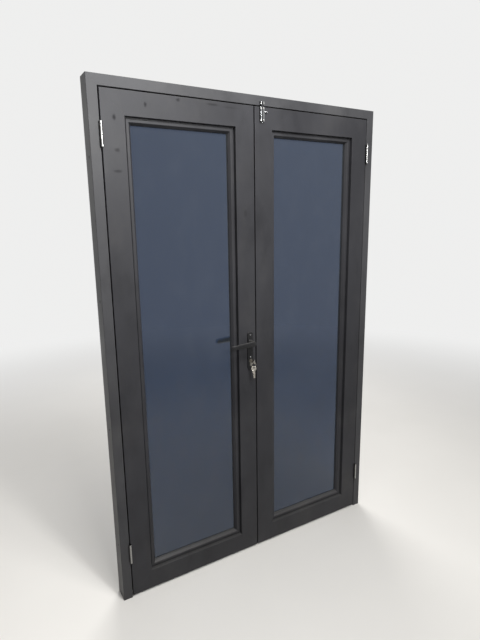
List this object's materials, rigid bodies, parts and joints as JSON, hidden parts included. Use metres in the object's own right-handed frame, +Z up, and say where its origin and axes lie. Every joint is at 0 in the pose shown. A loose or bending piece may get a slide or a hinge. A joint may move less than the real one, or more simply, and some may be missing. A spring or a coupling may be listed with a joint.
{
  "type": "glass entrance door",
  "caption": "Double glazed-panel entrance door in a three-sided aluminium frame, with hinges, lever lock, key cylinder and a slide bolt at the head.",
  "frame": {"origin": "on the floor, midway between the jambs, at the mid-thickness of the closed leaves", "axes": "+X to the right seen from the room, +Y out through the door to the outside, +Z up; the room side, with the key in the lock, faces -Y"},
  "size_m": [1.333, 0.149, 2.05],
  "materials": {
    "frame_profile": "matt black powder coat",
    "leaf_profile": "matt black powder coat",
    "glass": "clear laminated",
    "rubber": "black extruded",
    "bare_aluminium": "mill",
    "block_plastic": "moulded",
    "hinge_steel": "zinc plated",
    "screw_steel": "zinc plated",
    "lock_steel": "satin stainless",
    "black_satin": "satin black",
    "cylinder_nickel": "satin nickel plated",
    "key_nickel": "nickel plated",
    "bolt_chrome": "polished",
    "bolt_rod_steel": "drawn"
  },
  "bodies": {
    "frame": {"frame_head": "frame_profile", "frame_left_jamb": "frame_profile", "frame_right_jamb": "frame_profile", "frame_corner_cleats": "bare_aluminium", "frame_weatherstrip": "rubber", "frame_screws": "screw_steel", "hinge_jamb_halves": "hinge_steel", "hinge_pins": "hinge_steel", "slide_bolt_keeper": "bolt_chrome"},
    "left_leaf": {"left_hinge_stile": "leaf_profile", "left_meeting_stile": "leaf_profile", "left_top_rail": "leaf_profile", "left_bottom_rail": "leaf_profile", "left_corner_cleats": "bare_aluminium", "left_glass": "glass", "left_glazing_beads": "leaf_profile", "left_inner_gasket": "rubber", "left_outer_gasket": "rubber", "left_setting_blocks": "block_plastic", "left_hinge_leaf_halves": "hinge_steel", "left_hinge_screws": "screw_steel", "lock_case": "lock_steel", "lock_cover": "lock_steel", "lock_faceplate": "lock_steel", "lock_screws": "screw_steel", "inner_lever_plate": "black_satin", "outer_lever_plate": "black_satin", "lever_plate_screws": "black_satin", "cylinder_body": "cylinder_nickel"},
    "right_leaf": {"right_hinge_stile": "leaf_profile", "right_meeting_stile": "leaf_profile", "right_top_rail": "leaf_profile", "right_bottom_rail": "leaf_profile", "right_corner_cleats": "bare_aluminium", "right_glass": "glass", "right_glazing_beads": "leaf_profile", "right_inner_gasket": "rubber", "right_outer_gasket": "rubber", "right_setting_blocks": "block_plastic", "right_hinge_leaf_halves": "hinge_steel", "right_hinge_screws": "screw_steel", "strike_plate": "lock_steel", "strike_screws": "screw_steel", "meeting_seal": "rubber", "slide_bolt_base": "bolt_chrome", "slide_bolt_screws": "screw_steel"},
    "lever": {"lock_follower": "lock_steel", "lever_spindle": "lock_steel", "inner_lever": "black_satin", "outer_lever": "black_satin"},
    "latch": {"latch_bolt": "lock_steel"},
    "dead_bolt": {"dead_bolt": "lock_steel"},
    "key_and_plug": {"cylinder_plugs": "cylinder_nickel", "cylinder_cam": "cylinder_nickel", "key": "key_nickel"},
    "hanging_keys": {"key_ring": "key_nickel", "spare_key": "key_nickel"},
    "slide_bolt": {"slide_bolt_rod": "bolt_rod_steel"}
  },
  "joints": [
    {"name": "left_leaf_swing", "type": "hinge", "parent": "frame", "child": "left_leaf", "pos_m": [-0.6265, -0.029, 1], "axis": [0, 0, -1], "range_deg": [0, 100]},
    {"name": "right_leaf_swing", "type": "hinge", "parent": "frame", "child": "right_leaf", "pos_m": [0.6265, -0.029, 1], "axis": [0, 0, 1], "range_deg": [0, 100]},
    {"name": "lever_turn", "type": "hinge", "parent": "left_leaf", "child": "lever", "pos_m": [-0.0325, 0, 1.0305], "axis": [0, -1, 0], "range_deg": [0, 45], "stiffness_Nm_per_rad": 1, "springref_deg": -34.38},
    {"name": "latch_slide", "type": "slide", "parent": "left_leaf", "child": "latch", "axis": [-1, 0, 0], "range_m": [0, 0.0126]},
    {"name": "key_turn", "type": "hinge", "parent": "left_leaf", "child": "key_and_plug", "pos_m": [-0.0325, -0.02, 0.9455], "axis": [0, 1, 0], "range_deg": [0, 90]},
    {"name": "dead_bolt_slide", "type": "slide", "parent": "left_leaf", "child": "dead_bolt", "axis": [1, 0, 0], "range_m": [0, 0.01414]},
    {"name": "hanging_keys_swing", "type": "hinge", "parent": "key_and_plug", "child": "hanging_keys", "pos_m": [-0.0325, -0.054, 0.9433], "axis": [0, 1, 0], "range_deg": [-20, 20]},
    {"name": "slide_bolt_slide", "type": "slide", "parent": "right_leaf", "child": "slide_bolt", "axis": [0, 0, 1], "range_m": [-0.02, 0]}
  ],
  "couplings": [
    {"joint": "latch_slide", "follows": "lever_turn", "m_per_rad": 0.015913},
    {"joint": "key_turn", "follows": "dead_bolt_slide", "rad_per_m": 111.07}
  ]
}
